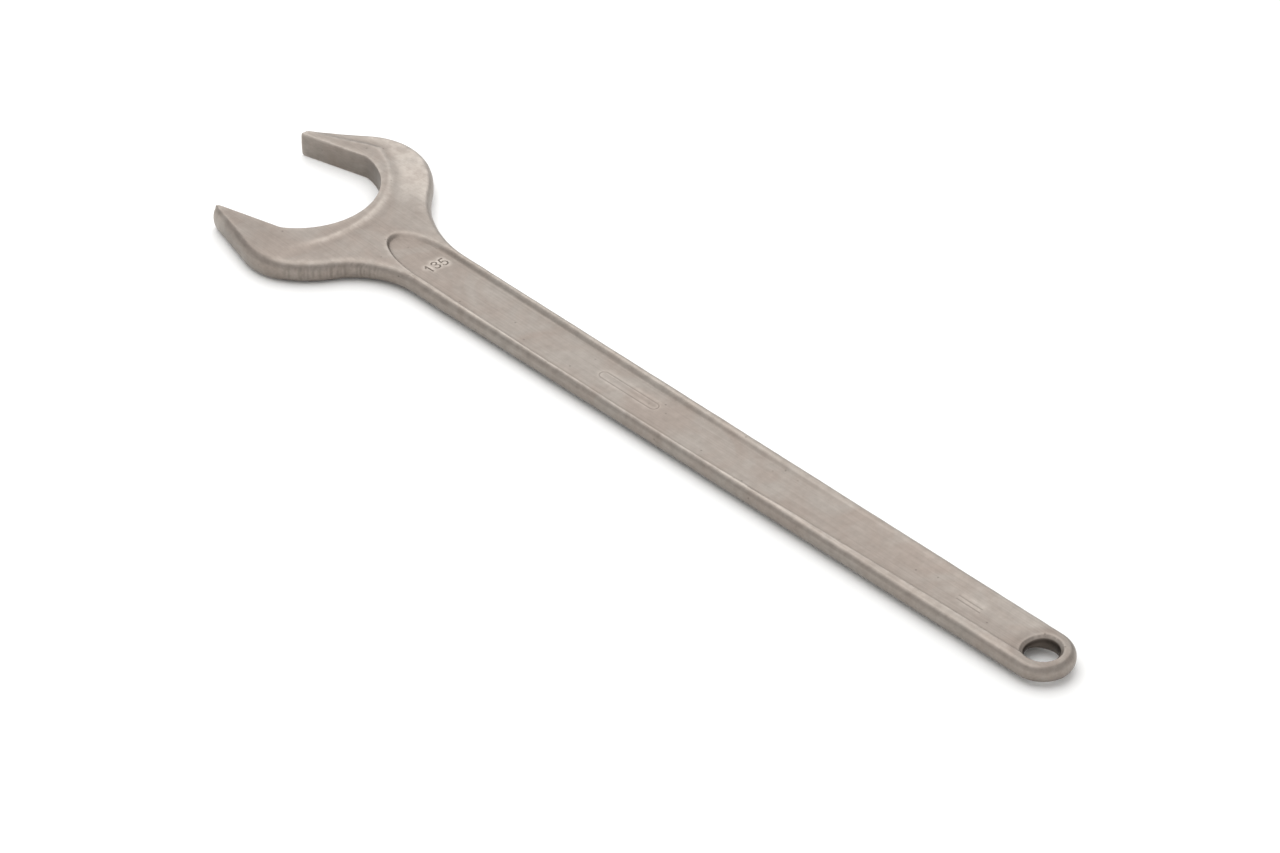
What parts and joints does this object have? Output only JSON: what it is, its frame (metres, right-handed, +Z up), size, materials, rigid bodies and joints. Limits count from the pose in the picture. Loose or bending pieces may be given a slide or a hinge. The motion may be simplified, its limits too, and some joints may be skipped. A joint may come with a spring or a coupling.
{
  "type": "open-end spanner",
  "caption": "Large forged single open-end spanner, jaw angled to a long flat shank with a recessed panel in each face and a hanging hole at the rounded end.",
  "frame": {"origin": "axis of the nut held in the jaw, in the plane of the head's underside", "axes": "+X along the shank from the jaw to the handle end, +Z up through the thickness; the jaw opens towards -X and is turned 15 degrees about +Z"},
  "size_m": [1.0104, 0.2209, 0.0242],
  "materials": {
    "forged_steel": "as forged and blasted, satin warm grey"
  },
  "bodies": {
    "root": {"forged_spanner": "forged_steel"}
  },
  "joints": []
}
